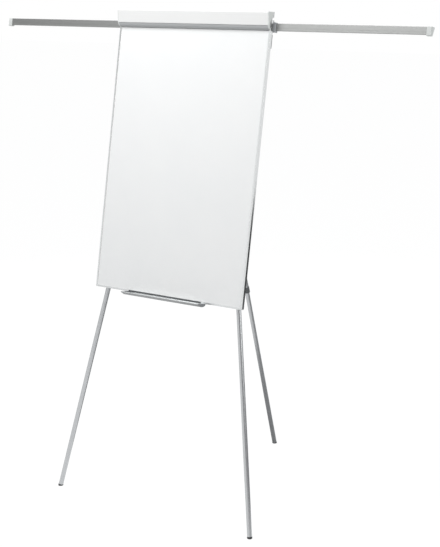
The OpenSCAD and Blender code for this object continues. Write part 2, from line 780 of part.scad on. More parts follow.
// The end cap starts just before its arm, is deepest at its top, and its back slants in to a narrow foot
module arm_cap(side) color("whitesmoke") on_board() {
    front = arm_n(side) - arm_d / 2 - arm_play - arm_rail_t;
    back = front + arm_cap_d;
    foot_back = front + arm_cap_foot;
    low = arm_v - arm_h / 2 - arm_cap_drop;
    high = arm_v + arm_h / 2 + arm_cap_rise;
    halfway = [(back + foot_back) / 2, (low + high) / 2];
    translate([side * (arm_reach + arm_cap_w / 2), 0, 0]) along_x(arm_cap_w)
        polygon(rounded(
            [halfway, [back, high], [front, high], [front, low], [foot_back, low], halfway],
            [0, 1.5, 3, 3, 3, 0]
        ));
    on_arm(side, arm_reach - arm_spigot, arm_reach) arm_plug();
}

// Hub

module hub_plate() color("darkgray") on_board() difference() {
    box(
        [hub_inset - half_w, frame_d, pivot_v - hub_h / 2],
        [half_w - hub_inset, hub_back, pivot_v + hub_h / 2]
    );
    for (side = [-1, 1])
        rod_y([side * leg_x, frame_d - 1, pivot_v], pivot_r + pin_play, hub_t + 2);
    at_hub_screws() screw_hole();
    at_clevis_screws() screw_hole();
}

module hub_screws() color("gray") on_board() {
    at_hub_screws() screw();
    at_clevis_screws() screw();
}

module front_pivot_bolts() color("silver") on_board()
    for (side = [-1, 1]) {
        shank = leg_back + upper_r + knuckle_play - frame_d;
        rod_y([side * leg_x, frame_d - pivot_head_t, pivot_v], pivot_head_r, pivot_head_t);
        rod_y([side * leg_x, frame_d, pivot_v], pivot_r, shank);
        rod_y([side * leg_x, frame_d + shank, pivot_v], pivot_head_r, pivot_head_t);
    }

module rear_clevis() color("gray") on_board() difference() {
    union() {
        box([-clevis_half, hub_back, rear_v - ear_r], [clevis_half, stop_n, rear_v + ear_r]);
        box(
            [-clevis_half - clevis_foot_w, hub_back, rear_v - ear_r],
            [clevis_half + clevis_foot_w, hub_back + clevis_foot_t, rear_v + ear_r]
        );
        for (side = [0, 1]) mirror([side, 0, 0]) {
            box([clevis_half - ear_t, stop_n, rear_v - ear_r], [clevis_half, rear_back, rear_v + ear_r]);
            rod_x([clevis_half - ear_t, rear_back, rear_v], ear_r, ear_t);
        }
    }
    rod_x([-clevis_half - 1, rear_back, rear_v], pivot_r + pin_play, 2 * clevis_half + 2);
    at_clevis_screws() screw_hole();
}

module rear_hinge_pin() color("silver") on_board() {
    rod_x([-clevis_half, rear_back, rear_v], pivot_r, 2 * clevis_half);
    for (end = [-clevis_half - pivot_head_t, clevis_half])
        rod_x([end, rear_back, rear_v], pivot_head_r, pivot_head_t);
}

// Legs

module leg_knuckle(leg) color("dimgray") on_leg(leg) difference() {
    union() {
        if (leg == 0) {
            rod_x([-rear_knuckle_w / 2, 0, 0], upper_r, rear_knuckle_w);
            box([-rear_knuckle_w / 2, -upper_r, 0], [rear_knuckle_w / 2, upper_r, heel_up]);
        } else {
            front = hub_back - leg_back + knuckle_play;
            rod_y([0, front, 0], upper_r, upper_r - front);
        }
        rod_down(0, neck_len, upper_r);
        rod_down(neck_len, neck_len + knuckle_spigot, upper_bore - tube_play);
    }
    if (leg == 0)
        rod_x([-rear_knuckle_w, 0, 0], pivot_r + pin_play, 2 * rear_knuckle_w);
    else
        rod_y([0, -2 * upper_r, 0], pivot_r + pin_play, 4 * upper_r);
}

module leg_upper_tube(leg) color("silver") on_leg(leg) difference() {
    rod_down(neck_len, upper_len(leg), upper_r);
    rod_down(neck_len - 1, upper_len(leg) + 1, upper_bore);
}

module lock_collar(leg) color("dimgray") on_leg(leg) {
    top = upper_len(leg) - collar_over;
    low = upper_len(leg) + collar_below;
    difference() {
        rod_down(top, low, collar_r);
        rod_down(top - 1, upper_len(leg) + ring_len + 2 * slide_play, collar_bore);
        rod_down(upper_len(leg), low + 1, lower_r + slide_play);
        for (i = [1 : flute_n])
            rotate(360 * i / flute_n) translate([collar_r + flute_d, 0, 0])
                rod_down(top + collar_over / 4, low - collar_below / 4, 2 * flute_d);
    }
}

module grip_ring(leg) color("whitesmoke") on_leg(leg) difference() {
    from = upper_len(leg) + slide_play;
    rod_down(from, from + ring_len, upper_r);
    rod_down(from - 1, from + ring_len + 1, lower_r + pin_play);
    translate([0, -ring_slit / 2, -from - ring_len - 1]) cube([2 * upper_r, ring_slit, ring_len + 2]);
}

module leg_lower_tube(leg) color("silver") on_leg(leg) difference() {
    rod_down(upper_len(leg) - overlap, leg_len(leg) - foot_h, lower_r);
    rod_down(upper_len(leg) - overlap - 1, leg_len(leg) - foot_h + 1, lower_bore);
}

module glide_plug(leg) color("whitesmoke") on_leg(leg) {
    seat = upper_len(leg) - overlap;
    rod_down(seat - glide_len, seat, upper_bore - tube_play);
    rod_down(seat, seat + lower_spigot, lower_bore - tube_play);
}

module foot(leg) color("dimgray") difference() {
    on_leg(leg) {
        rod_down(leg_len(leg) - foot_h, leg_len(leg) + foot_h, foot_r);
        rod_down(leg_len(leg) - foot_h - lower_spigot, leg_len(leg) - foot_h, lower_bore - tube_play);
    }
    on_floor(leg) translate([0, 0, -floor_cut / 2]) cube(floor_cut, center = true);
}

// The point of the floor under a foot
module on_floor(leg) {
    if (leg == 0)
        translate([0, board_y + rear_foot_y, 0]) children();
    else
        translate([leg * (leg_x + front_len * sin(leg_splay)), board_y + front_foot_y, 0]) children();
}

// A hook beside the splayed leg, open towards the middle of the board
module leg_hook(side) color("gray") on_board() difference() {
    translate([side * leg_x, leg_back, pivot_v]) rotate([0, -side * leg_splay, 0])
        mirror([side < 0 ? 1 : 0, 0, 0]) translate([0, 0, -hook_down]) {
            seat = panel_back - leg_back;
            lip = upper_r + knuckle_play;
            box(
                [hook_wall, seat, -hook_h / 2],
                [hook_wall + hook_t + hook_foot, seat + hook_t, hook_h / 2]
            );
            box([hook_wall, seat, -hook_h / 2], [hook_wall + hook_t, lip + hook_t, hook_h / 2]);
            box([hook_wall - hook_close, lip, -hook_h / 2], [hook_wall + hook_t, lip + hook_t, hook_h / 2]);
        }
    at_hook_screws() screw_hole();
}

module leg_hook_screws() color("gray") on_board() at_hook_screws() screw();

// Pen tray

// The tray's underside from its lip to the top of its back
tray_path = [
    [-tray_reach, tray_lip_up],
    [-tray_reach, tray_lip_up - tray_lip_h],
    [-floor_front, -tray_drop],
    [-floor_back, -tray_drop],
    [0, -tray_drop * 0.6],
    [0, tray_back_h]
];
tray_bends = [0, tray_t + 0.8, 4, 4, 0, 0];

module pen_tray() color("lightgray") on_board() difference() {
    along_x(tray_len - 2 * tray_cap_t) {
        polygon(sheet(rounded(tray_path, tray_bends), tray_t));
        translate([-tray_t / 2, -tray_t]) square([tray_flange + tray_t / 2, tray_t]);
    }
    at_tray_screws() screw_hole();
}

module tray_end_caps() color("gray") on_board()
    for (side = [-1, 1])
        translate([side * (tray_len - tray_cap_t) / 2, 0, 0]) along_x(tray_cap_t)
            polygon(rounded(tray_path, tray_bends));

module tray_screws() color("gray") on_board() at_tray_screws() screw();

writing_sheet();
panel_core();
back_liner();
frame_side(-1);  // frame_left
frame_side(1);  // frame_right
frame_bottom();
frame_corner_plugs();
clamp_rail();
clamp_rail_screws();
clamp_hinge_rod();
clamp_bar();
clamp_jaw();
clamp_end(-1);  // clamp_end_left
clamp_end(1);  // clamp_end_right
clamp_grip_strip();
clamp_springs();
pad_peg(-1);  // pad_peg_left
pad_peg(1);  // pad_peg_right
arm_rail();
arm_rail_screws();
arm_bush(-1);  // arm_bush_left
arm_bush(1);  // arm_bush_right
arm(-1);  // arm_left
arm(1);  // arm_right
arm_glide(-1);  // arm_glide_left
arm_glide(1);  // arm_glide_right
arm_cap(-1);  // arm_cap_left
arm_cap(1);  // arm_cap_right
hub_plate();
hub_screws();
front_pivot_bolts();
rear_clevis();
rear_hinge_pin();
leg_hook(-1);  // leg_hook_left
leg_hook(1);  // leg_hook_right
leg_hook_screws();
leg_knuckle(-1);  // knuckle_left
leg_knuckle(1);  // knuckle_right
leg_knuckle(0);  // knuckle_rear
leg_upper_tube(-1);  // upper_tube_left
leg_upper_tube(1);  // upper_tube_right
leg_upper_tube(0);  // upper_tube_rear
lock_collar(-1);  // lock_collar_left
lock_collar(1);  // lock_collar_right
lock_collar(0);  // lock_collar_rear
grip_ring(-1);  // grip_ring_left
grip_ring(1);  // grip_ring_right
grip_ring(0);  // grip_ring_rear
leg_lower_tube(-1);  // lower_tube_left
leg_lower_tube(1);  // lower_tube_right
leg_lower_tube(0);  // lower_tube_rear
glide_plug(-1);  // glide_plug_left
glide_plug(1);  // glide_plug_right
glide_plug(0);  // glide_plug_rear
foot(-1);  // foot_left
foot(1);  // foot_right
foot(0);  // foot_rear
pen_tray();
tray_end_caps();
tray_screws();
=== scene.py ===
import json

import bmesh
import bpy
import numpy as np
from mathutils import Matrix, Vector


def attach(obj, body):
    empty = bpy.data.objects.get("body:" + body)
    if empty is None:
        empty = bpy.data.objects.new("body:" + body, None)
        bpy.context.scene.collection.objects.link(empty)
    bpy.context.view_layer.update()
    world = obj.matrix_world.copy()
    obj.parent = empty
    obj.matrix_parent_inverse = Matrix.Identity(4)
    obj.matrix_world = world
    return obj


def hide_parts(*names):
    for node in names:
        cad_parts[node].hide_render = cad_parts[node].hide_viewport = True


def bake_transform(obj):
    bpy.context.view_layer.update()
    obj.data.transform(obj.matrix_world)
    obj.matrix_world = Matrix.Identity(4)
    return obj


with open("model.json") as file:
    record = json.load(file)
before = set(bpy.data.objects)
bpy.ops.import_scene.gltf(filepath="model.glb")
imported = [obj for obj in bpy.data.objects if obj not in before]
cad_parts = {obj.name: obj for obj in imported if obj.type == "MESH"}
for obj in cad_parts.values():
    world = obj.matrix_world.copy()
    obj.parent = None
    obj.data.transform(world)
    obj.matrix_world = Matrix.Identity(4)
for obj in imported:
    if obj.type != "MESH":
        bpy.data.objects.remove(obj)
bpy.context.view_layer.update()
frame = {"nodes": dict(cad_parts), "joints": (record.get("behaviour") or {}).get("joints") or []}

# The view: the easel stands on a pale studio floor and is seen through a long lens from its right
# front, at the height of its top. Floor and air are white to the eye and a calm grey as a light.
camera = bpy.data.objects.new("camera", bpy.data.cameras.new("camera"))
camera.data.lens = 85.02
camera.data.sensor_width = 36
camera.location = (2.8721, -4.1925, 2.0086)
camera.rotation_euler = np.radians((77.27, 0, 34.263))
bpy.context.scene.collection.objects.link(camera)
bpy.context.scene.camera = camera
bpy.context.scene.view_settings.view_transform = "Standard"


def linear(code):
    """An sRGB hex colour as linear light: a channel c over 0.04045 becomes ((c + 0.055) / 1.055) to the
    power 2.4, and a lower one c / 12.92."""
    c = np.array([int(code[i : i + 2], 16) for i in (1, 3, 5)]) / 255
    light = np.where(c > 0.04045, ((c + 0.055) / 1.055) ** 2.4, c / 12.92)
    return (*light.tolist(), 1.0)


def add(tree, kind, sockets=None, **settings):
    """Adds a shader node. Settings are its own fields, sockets are values or other nodes' outputs."""
    made = tree.nodes.new("ShaderNode" + kind)
    for field, value in settings.items():
        setattr(made, field, value)
    for key, value in (sockets or {}).items():
        if isinstance(value, bpy.types.NodeSocket):
            tree.links.new(value, made.inputs[key])
        else:
            made.inputs[key].default_value = value
    return made


def seen(tree):
    """1 for a ray from the eye, a reflection or a clear piece, and 0 for light on a surface."""
    ray = add(tree, "LightPath").outputs
    mirrored = add(tree, "Math", {0: ray["Is Camera Ray"], 1: ray["Is Glossy Ray"]}, operation="MAXIMUM")
    through = {0: mirrored.outputs[0], 1: ray["Is Transmission Ray"]}
    return add(tree, "Math", through, operation="MAXIMUM").outputs[0]


air = bpy.data.worlds.new("studio_air")
bpy.context.scene.world = air
air.use_nodes = True
air.node_tree.nodes.clear()
lit = add(air.node_tree, "Background", {"Color": linear("#f4f6f8"), "Strength": 0.5})
white = add(air.node_tree, "Background", {"Color": (1, 1, 1, 1), "Strength": 1.0})
both = add(air.node_tree, "MixShader", {0: seen(air.node_tree), 1: lit.outputs[0], 2: white.outputs[0]})
add(air.node_tree, "OutputWorld", {"Surface": both.outputs[0]})

# The floor's paper: matt pale grey under the lamps, and for the most part plain white to the eye, so that
# the easel's shadow stays as a faint tone
floor_half = 30
seen_white = 0.85
paper = bpy.data.materials.new("studio_paper")
paper.use_nodes = True
paper.node_tree.nodes.clear()
matt = add(paper.node_tree, "BsdfDiffuse", {"Color": linear("#e8e8e8")})
glow = add(paper.node_tree, "Emission", {"Color": (1, 1, 1, 1), "Strength": 1.1})
part_seen = add(paper.node_tree, "Math", {0: seen(paper.node_tree), 1: seen_white}, operation="MULTIPLY")
both = add(paper.node_tree, "MixShader", {0: part_seen.outputs[0], 1: matt.outputs[0], 2: glow.outputs[0]})
add(paper.node_tree, "OutputMaterial", {"Surface": both.outputs[0]})
floor_mesh = bpy.data.meshes.new("studio_floor")
floor_sheet = floor_half * np.array([(-1, -1, 0), (1, -1, 0), (1, 1, 0), (-1, 1, 0)])
floor_mesh.from_pydata(floor_sheet.tolist(), [], [(0, 1, 2, 3)])
floor_mesh.materials.append(paper)
floor = bpy.data.objects.new("studio_floor", floor_mesh)
bpy.context.scene.collection.objects.link(floor)

# Lamps: a soft one over the left front, one at the right for the arm and the board's edge, and a weak one
# behind
for lamp_name, lamp_place, aimed_at, lamp_size, lamp_power in (
    ("key_lamp", (-0.5, -1.7, 3.6), (0.0, -0.2, 1.6), 1.6, 54.0),
    ("side_lamp", (4.6, -0.8, 2.5), (0.6, 0.0, 1.9), 1.6, 48.0),
    ("rear_lamp", (-2.4, 3.0, 2.4), (0.0, 0.0, 1.3), 1.6, 22.0),
):
    lamp = bpy.data.objects.new(lamp_name, bpy.data.lights.new(lamp_name, "AREA"))
    lamp.data.size = lamp_size
    lamp.data.energy = lamp_power
    lamp.location = lamp_place
    lamp.rotation_euler = (Vector(aimed_at) - Vector(lamp_place)).to_track_quat("-Z", "Y").to_euler()
    bpy.context.scene.collection.objects.link(lamp)

# Cards out of sight, which only reflections see: low on the right, on the floor behind, upright at the
# right front and high on the left. They give the bright metal something to reflect, so that the board's
# edge and the rear leg darken downwards and the left arm is darker than the right one.
for card_name, card_tone, corner, side_a, side_b in (
    ("right_card", "#3c3c3c", (2.2, -1.5, 0.0), (0.0, 6.0, 0.0), (0.0, 0.0, 0.65)),
    ("floor_card", "#a8a8a8", (-0.5, -0.15, 0.004), (2.7, 0.0, 0.0), (0.0, 1.9, 0.0)),
    ("far_card", "#8c8c8c", (0.9, 1.75, 0.004), (1.3, 0.0, 0.0), (0.0, 2.8, 0.0)),
    ("front_card", "#808080", (1.0, -3.4, 0.4), (2.6, 2.8, 0.0), (0.0, 0.0, 2.8)),
    ("left_card", "#3c3c3c", (-6.0, -3.0, 1.0), (3.2, 0.0, 0.0), (0.0, 0.0, 3.4)),
):
    shade = bpy.data.materials.new(card_name)
    shade.use_nodes = True
    shade.node_tree.nodes["Principled BSDF"].inputs["Base Color"].default_value = linear(card_tone)
    card_mesh = bpy.data.meshes.new(card_name)
    sheet = np.array(corner) + np.array([(0, 0, 0), side_a, np.add(side_a, side_b), side_b])
    card_mesh.from_pydata(sheet.tolist(), [], [(0, 1, 2, 3)])
    card_mesh.materials.append(shade)
    card = bpy.data.objects.new(card_name, card_mesh)
    card.visible_camera = card.visible_diffuse = card.visible_shadow = card.visible_transmission = False
    bpy.context.scene.collection.objects.link(card)

# The writing panel: a steel sheet with fired white enamel, glued on a honeycomb board with a thin
# aluminium sheet behind. The enamel is glossy, with a faint ripple and the haze of much wiping.
joint = {j["name"]: j for j in frame["joints"]}
across = np.array((1.0, 0.0, 0.0))
back = np.array(joint["leg_swing_right"]["axis"])
up = np.cross(across, back)


def vertices(node):
    """A CAD node's vertices as an array of points in metres."""
    mesh = frame["nodes"][node].data
    points = np.empty(3 * len(mesh.vertices), np.float32)
    mesh.vertices.foreach_get("co", points)
    return points.reshape(-1, 3).astype(float)


# The board's lower front edge, from which depth runs back and height runs up the slope
edge = back * (vertices("frame_left") @ back).min() + up * (vertices("frame_corner_plugs") @ up).min()


def span(node):
    """The least and the greatest x, depth and height of a CAD node in the board's own axes."""
    own = (vertices(node) - edge) @ np.stack([across, back, up], 1)
    return own.min(0), own.max(0)


def finish_of(name):
    """A new empty material, its node tree and the socket that gives the place on the piece in metres."""
    material = bpy.data.materials.new(name)
    material.use_nodes = True
    material.node_tree.nodes.clear()
    return material, material.node_tree, add(material.node_tree, "TexCoord").outputs["Object"]


def surface(tree, sockets):
    """Ends a material with one shader that has these inputs."""
    shader = add(tree, "BsdfPrincipled", sockets)
    add(tree, "OutputMaterial", {"Surface": shader.outputs[0]})


def aimed(direction):
    """The turn that lays a pattern's z along a direction."""
    return Vector(direction).to_track_quat("Z", "Y").to_euler()


def dress(material, *nodes):
    """Gives CAD nodes a finish."""
    for node in nodes:
        for place in frame["nodes"][node].material_slots:
            place.material = material


# Enamel: wiping strokes run across, 30 mm high and 300 mm long, and the ripple is 4 mm wide
enamel, tree, place = finish_of("enamelled_steel")
stroke = add(
    tree,
    "Mapping",
    {"Vector": place, "Rotation": aimed(across), "Scale": (0.03, 0.03, 0.3)},
    vector_type="TEXTURE",
)
wiped = add(tree, "TexNoise", {"Vector": stroke.outputs[0], "Scale": 1.0, "Detail": 4.0})
haze = add(tree, "TexNoise", {"Vector": place, "Scale": 5.0, "Detail": 3.0})
white = add(tree, "Mix", {0: haze.outputs[0], 6: linear("#f1f2f2"), 7: linear("#f7f7f6")}, data_type="RGBA")
gloss = add(tree, "MapRange", {0: wiped.outputs[0], 1: 0.3, 2: 0.7, 3: 0.24, 4: 0.27})
ripple = add(tree, "TexNoise", {"Vector": place, "Scale": 250.0, "Detail": 1.0})
bump = add(tree, "Bump", {"Height": ripple.outputs[0], "Strength": 0.06, "Distance": 0.0002})
surface(
    tree,
    {"Base Color": white.outputs[2], "Roughness": gloss.outputs[0], "IOR": 1.5, "Normal": bump.outputs[0]},
)
dress(enamel, "writing_sheet")

# Kraft honeycomb: brown fibres 1 mm wide and 12 mm long lie across the edges of the core
kraft, tree, place = finish_of("kraft_honeycomb")
fibre = add(
    tree,
    "Mapping",
    {"Vector": place, "Rotation": aimed(up), "Scale": (0.001, 0.001, 0.012)},
    vector_type="TEXTURE",
)
fibres = add(tree, "TexNoise", {"Vector": fibre.outputs[0], "Scale": 1.0, "Detail": 3.0})
brown = add(
    tree, "Mix", {0: fibres.outputs[0], 6: linear("#9c7a50"), 7: linear("#c9a878")}, data_type="RGBA"
)
bump = add(tree, "Bump", {"Height": fibres.outputs[0], "Strength": 0.4, "Distance": 0.0003})
surface(tree, {"Base Color": brown.outputs[2], "Roughness": 0.9, "Normal": bump.outputs[0]})
dress(kraft, "panel_core")


def drawn_aluminium(name, dark, light, direction, rough, metal):
    """Aluminium with hairlines along its length: noise 0.4 m long and 1 mm wide mixes two tones, shifts the
    roughness by 0.06 and lifts the surface a little. Real die lines are 0.2 mm apart, too fine to show.
    A thick matt anodised skin scatters light in itself, so that only a share of the sheen is metal."""
    material, tree, place = finish_of(name)
    lined = add(
        tree,
        "Mapping",
        {"Vector": place, "Rotation": aimed(direction), "Scale": (0.001, 0.001, 0.4)},
        vector_type="TEXTURE",
    )
    lines = add(tree, "TexNoise", {"Vector": lined.outputs[0], "Scale": 1.0, "Detail": 3.0})
    tone = add(tree, "Mix", {0: lines.outputs[0], 6: linear(dark), 7: linear(light)}, data_type="RGBA")
    satin = add(tree, "MapRange", {0: lines.outputs[0], 1: 0.3, 2: 0.7, 3: rough - 0.06, 4: rough + 0.06})
    bump = add(tree, "Bump", {"Height": lines.outputs[0], "Strength": 0.12, "Distance": 0.0002})
    surface(
        tree,
        {
            "Base Color": tone.outputs[2],
            "Metallic": metal,
            "Roughness": satin.outputs[0],
            "Normal": bump.outputs[0],
        },
    )
    return material


dress(drawn_aluminium("mill_aluminium_sheet", "#bcbec0", "#cccecf", up, 0.46, 0.7), "back_liner")

# The frame: extruded aluminium channels, bright anodised, hold the panel at its sides and foot.
# A side channel has a thin web, a front lip and a rib round the panel, and a second web with a broad
# rear lip that is set in behind the rib, so that the board looks thin from the side.
bright_frame = drawn_aluminium("bright_anodised_frame", "#d6d8d9", "#e2e4e4", up, 0.15, 1.0)
# The sill's finish; a lighter copy of it on the pen tray's lip and trough is a painted highlight
bright_sill_and_tray_highlight = drawn_aluminium("sill_finish_and_painted_tray_highlight", "#d6d8d9", "#e2e4e4", across, 0.3, 1.0)
dress(bright_sill_and_tray_highlight, "frame_bottom")
frame_wall = 0.0012
frame_lip = 0.007
step_in = frame_lip - frame_wall


def rounded(corners, radii, steps):
    """A closed outline whose corners are arcs: each arc's centre lies on the corner's bisector, the radius
    over the sine of half the corner's angle away, and the arc turns from one side to the other in equal
    steps."""
    corner = np.asarray(corners, float)
    radius = np.broadcast_to(np.asarray(radii, float), len(corner))[:, None]
    before = np.roll(corner, 1, 0) - corner
    after = np.roll(corner, -1, 0) - corner
    before /= np.linalg.norm(before, axis=1, keepdims=True)
    after /= np.linalg.norm(after, axis=1, keepdims=True)
    half = np.arccos(np.clip((before * after).sum(1, keepdims=True), -1, 1)) / 2
    middle = before + after
    centre = corner + middle / np.linalg.norm(middle, axis=1, keepdims=True) * radius / np.sin(half)
    first = corner + before * radius / np.tan(half) - centre
    last = corner + after * radius / np.tan(half) - centre
    start = np.arctan2(first[:, 1], first[:, 0])[:, None]
    sweep = (np.arctan2(last[:, 1], last[:, 0])[:, None] - start + np.pi) % (2 * np.pi) - np.pi
    angle = start + sweep * np.linspace(0, 1, steps + 1)
    arcs = centre[:, None] + radius[:, :, None] * np.stack([np.cos(angle), np.sin(angle)], 2)
    return arcs.reshape(-1, 2)


def skin(rows, around, looped=False):
    """Quads of a grid that is closed around, and from its last row to its first if it is looped."""
    row, point = np.meshgrid(np.arange(rows if looped else rows - 1), np.arange(around), indexing="ij")
    here = row.ravel() * around
    there = (row.ravel() + 1) % rows * around
    point = point.ravel()
    beside = (point + 1) % around
    return np.stack([here + point, here + beside, there + beside, there + point], 1).tolist()


def lids(rows, around):
    """The end faces of a grid that is closed around: its first row turned over, and its last row."""
    return [list(range(around))[::-1], list(range((rows - 1) * around, rows * around))]


def drawn(outline, axes, low, high, ease=(0.0002, 0.0002), stations=()):
    """A section carried straight along axes[2] from low to high, with plain rings at the stations between.
    Near each end it draws in by the ease on a quarter circle, every side moving in alike. Gives the points
    by ring and the faces, ends closed."""
    section = np.asarray(outline, float)
    side = np.roll(section, -1, 0) - section
    side /= np.linalg.norm(side, axis=1, keepdims=True)
    inward = np.stack([-side[:, 1], side[:, 0]], 1)
    mitre = inward + np.roll(inward, 1, 0)
    mitre *= 2 / (mitre**2).sum(1, keepdims=True)
    turn = np.linspace(0, np.pi / 2, 5)
    inset = np.r_[ease[0] * (1 - np.sin(turn)), np.zeros(len(stations)), ease[1] * (1 - np.cos(turn))]
    along = np.r_[low + ease[0] * (1 - np.cos(turn)), stations, high - ease[1] * (1 - np.sin(turn))]
    rings = section + mitre * inset[:, None, None]
    points = edge + rings @ np.stack(axes[:2]) + along[:, None, None] * axes[2]
    rows, around = rings.shape[:2]
    return points, skin(rows, around) + lids(rows, around)


def make(name, shape, finish, body, node):
    """A piece from points and faces in place of a CAD node, smooth but for edges over 40 degrees, that
    rides on its body. Its normals are weighted by area, so that broad flats stay flat beside rounded edges.
    A piece without a body rides on none, and its normals are not weighted."""
    mesh = bpy.data.meshes.new(name)
    mesh.from_pydata(np.reshape(shape[0], (-1, 3)).tolist(), [], shape[1])
    mesh.materials.append(finish)
    mesh.shade_smooth()
    mesh.set_sharp_from_angle(angle=np.radians(40))
    piece = bpy.data.objects.new(name, mesh)
    bpy.context.scene.collection.objects.link(piece)
    if body:
        piece.modifiers.new("flats", "WEIGHTED_NORMAL").keep_sharp = True
        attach(piece, body)
    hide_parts(node)
    return piece


sides = {"left": -1, "right": 1}
panel_back = span("back_liner")[1][1]
rib_back = panel_back + frame_wall
for name, side in sides.items():
    low, high = span("frame_" + name)
    deep = high[1]
    rear_lip = high[0] - low[0]
    channel = np.array(
        [
            (0, 0),
            (frame_lip, 0),
            (frame_lip, frame_wall),
            (frame_wall, frame_wall),
            (frame_wall, panel_back),
            (frame_lip, panel_back),
            (frame_lip, deep - frame_wall),
            (rear_lip, deep - frame_wall),
            (rear_lip, deep),
            (step_in, deep),
            (step_in, rib_back),
            (0, rib_back),
        ]
    )
    bends = np.array([0.3, 0.4, 0.4, 0.3, 0.3, 0.3, 0.3, 0.4, 0.4, 0.5, 0.3, 0.3]) / 1000
    outer = low[0] if side < 0 else high[0]
    channel = (channel * (-side, 1) + (outer, 0))[::-side]
    shape = drawn(rounded(channel, bends[::-side], 3), (across, back, up), low[2], high[2])
    make("side_channel_" + name, shape, bright_frame, "board", "frame_" + name)

# The corner plugs: small moulded plastic ends that close the side channels at the foot of the board.
# Each is a thin plate of the channel's outline, held by a tongue pressed up into its rear hollow.


def moulded(name, dark, light, rough=0.5):
    """Moulded plastic: a slow mottle between two tones, 20 mm across, and an even spark grain. Real grain
    is 0.1 mm, so the grit is drawn at 0.9 mm, the finest that shows."""
    grit = 0.0009
    material, tree, place = finish_of(name)
    mottle = add(tree, "TexNoise", {"Vector": place, "Scale": 50.0, "Detail": 2.0})
    tone = add(tree, "Mix", {0: mottle.outputs[0], 6: linear(dark), 7: linear(light)}, data_type="RGBA")
    spark = add(tree, "TexNoise", {"Vector": place, "Scale": 1 / grit, "Detail": 2.0})
    sheen = add(tree, "MapRange", {0: spark.outputs[0], 1: 0.3, 2: 0.7, 3: rough - 0.07, 4: rough + 0.07})
    bump = add(tree, "Bump", {"Height": spark.outputs[0], "Strength": 0.15, "Distance": 0.0002})
    surface(
        tree,
        {
            "Base Color": tone.outputs[2],
            "Roughness": sheen.outputs[0],
            "IOR": 1.53,
            "Normal": bump.outputs[0],
        },
    )
    return material


def box_outline(low, high):
    """The four corners of an upright oblong, in order."""
    return np.array([(low[0], low[1]), (high[0], low[1]), (high[0], high[1]), (low[0], high[1])])


pale_moulding = moulded("pale_abs_moulding", "#dbdedc", "#e4e6e4")
plug_high = span("frame_corner_plugs")[1]
plate_top = span("frame_left")[0][2]
plate_round = 0.0005
plug_soft = 0.0004
pressed = 0.0001
clear_of_plate = 0.001
for name, side in sides.items():
    plate = [
        (0, 0),
        (frame_lip, 0),
        (frame_lip, plug_high[1]),
        (step_in, plug_high[1]),
        (step_in, rib_back),
        (0, rib_back),
    ]
    plate = (np.array(plate) * (-side, 1) + (side * plug_high[0], 0))[::-side]
    ease = (plug_soft, pressed)
    shape = drawn(rounded(plate, plate_round, 4), (across, back, up), 0, plate_top, ease)
    make("corner_plug_" + name, shape, pale_moulding, "board", "frame_corner_plugs")
    own = (vertices("frame_corner_plugs") - edge) @ np.stack([across, back, up], 1)
    own = own[(own[:, 0] * side > 0) & (own[:, 2] > plate_top + clear_of_plate)]
    low, high = own.min(0), own.max(0)
    tongue = box_outline(low, high)
    ease = (pressed, plug_soft)
    shape = drawn(rounded(tongue, plug_soft, 4), (across, back, up), plate_top / 2, high[2], ease)
    make("corner_tongue_" + name, shape, pale_moulding, "board", "frame_corner_plugs")

# The clamp rail: one aluminium extrusion across the top of the board, hidden by the closed clamp. It has
# a peg slot in front, a shelf over the panel, a hinge web and a rear lip that hooks over the arm rail.
grey_anodised = drawn_aluminium("grey_anodised_rail", "#abadae", "#b8babb", across, 0.55, 0.3)
dress(grey_anodised, "clamp_rail")

# Bright zinc: the plating on bolts, pins and screws, a cool thin metal with cloudy patches 6 mm wide
zinc, tree, place = finish_of("bright_zinc_plate")
cloud = add(tree, "TexNoise", {"Vector": place, "Scale": 160.0, "Detail": 3.0})
tone = add(tree, "Mix", {0: cloud.outputs[0], 6: linear("#a9acae"), 7: linear("#c8cacb")}, data_type="RGBA")
dull = add(tree, "MapRange", {0: cloud.outputs[0], 1: 0.3, 2: 0.7, 3: 0.24, 4: 0.4})
surface(tree, {"Base Color": tone.outputs[2], "Metallic": 1.0, "Roughness": dull.outputs[0]})
dress(zinc, "clamp_hinge_rod")


def turned(radius, height, base, axis, around, looped=False):
    """A profile spun round an axis: at angle t a point is base + height * axis + radius * (cos t * a +
    sin t * b), with a and b square to the axis. Radius and height are rows, or rows by angles. Ends are
    closed flat, unless the profile is looped from its last row to its first."""
    axis = np.asarray(axis, float)
    a = np.cross(axis, back if abs(axis @ across) > 0.9 else across)
    a /= np.linalg.norm(a)
    b = np.cross(axis, a)
    t = np.arange(around) * 2 * np.pi / around
    rows = len(radius)
    radius = np.broadcast_to(np.reshape(radius, (rows, -1)), (rows, around))
    height = np.broadcast_to(np.reshape(height, (rows, -1)), (rows, around))
    spoke = np.cos(t)[:, None] * a + np.sin(t)[:, None] * b
    points = base + height[..., None] * axis + radius[..., None] * spoke
    ends = [] if looped else lids(rows, around)
    return points, skin(rows, around, looped) + ends


def apart(values, gap):
    """Numbers values by cluster: sorted, a step over the gap starts the next cluster."""
    order = np.argsort(values)
    cluster = np.empty(len(values), int)
    cluster[order] = np.r_[0, (np.diff(values[order]) > gap).cumsum()]
    return cluster


